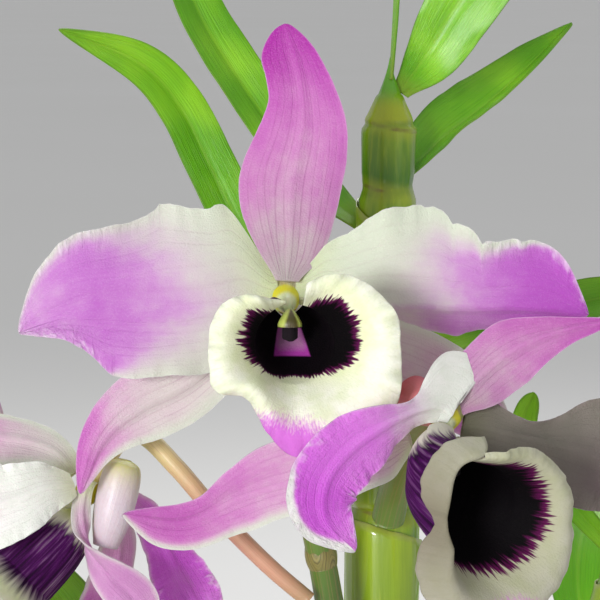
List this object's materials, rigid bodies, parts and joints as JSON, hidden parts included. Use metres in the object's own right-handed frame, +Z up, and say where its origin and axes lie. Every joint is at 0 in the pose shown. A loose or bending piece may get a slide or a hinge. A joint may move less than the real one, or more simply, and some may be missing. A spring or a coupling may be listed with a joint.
{
  "type": "potted dendrobium orchid",
  "caption": "Compact noble dendrobium orchid in a clay pot of bark: jointed upright canes with strap leaves and white and magenta blooms with a dark-throated lip.",
  "frame": {"origin": "middle of the underside of the pot", "axes": "+Z up along the canes, -Y towards the side that the front bloom faces, +X to that bloom's viewer's right"},
  "size_m": [0.2175, 0.1295, 0.3226],
  "materials": {
    "clay": "matte fired red clay",
    "bark": "rough dry bark",
    "root": "dull spongy white skin",
    "cane": "glossy green skin",
    "leaf": "satin to glossy, waxy",
    "sepal": "satin, soft",
    "petal": "satin, soft",
    "lip": "velvety",
    "column": "satin, waxy",
    "bud": "satin, soft"
  },
  "bodies": {
    "root": {"clay_pot": "clay", "cane_main": "cane", "cane_left": "cane", "cane_right": "cane", "cane_old": "cane", "rhizome_and_roots": "root", "bark_chips": "bark", "leaf_main_end": "leaf", "leaf_main_top_right": "leaf", "leaf_main_right": "leaf", "leaf_main_left": "leaf", "leaf_main_low_left": "leaf", "leaf_main_low_right": "leaf", "leaf_right_young": "leaf", "leaf_left_low": "leaf", "leaf_left_end": "leaf", "leaf_left_back": "leaf", "leaf_left_side": "leaf", "leaf_right_end": "leaf", "leaf_right_side": "leaf", "leaf_right_back": "leaf", "leaf_right_low": "leaf", "front_bloom_dorsal_sepal": "sepal", "front_bloom_petal_left": "petal", "front_bloom_petal_right": "petal", "front_bloom_lateral_sepal_left": "sepal", "front_bloom_lateral_sepal_right": "sepal", "front_bloom_lip": "lip", "front_bloom_column_and_stalk": "column", "right_bloom_dorsal_sepal": "sepal", "right_bloom_petal_left": "petal", "right_bloom_petal_right": "petal", "right_bloom_lateral_sepal_left": "sepal", "right_bloom_lateral_sepal_right": "sepal", "right_bloom_lip": "lip", "right_bloom_column_and_stalk": "column", "left_bloom_dorsal_sepal": "sepal", "left_bloom_petal_right": "petal", "left_bloom_petal_left": "petal", "left_bloom_lateral_sepal_right": "sepal", "left_bloom_lateral_sepal_left": "sepal", "left_bloom_lip": "lip", "left_bloom_column_and_stalk": "column", "back_bloom_dorsal_sepal": "sepal", "back_bloom_petal_left": "petal", "back_bloom_petal_right": "petal", "back_bloom_lateral_sepal_left": "sepal", "back_bloom_lateral_sepal_right": "sepal", "back_bloom_lip": "lip", "back_bloom_column_and_stalk": "column", "high_bloom_dorsal_sepal": "sepal", "high_bloom_petal_left": "petal", "high_bloom_petal_right": "petal", "high_bloom_lateral_sepal_left": "sepal", "high_bloom_lateral_sepal_right": "sepal", "high_bloom_lip": "lip", "high_bloom_column_and_stalk": "column", "buds": "bud"}
  },
  "joints": []
}
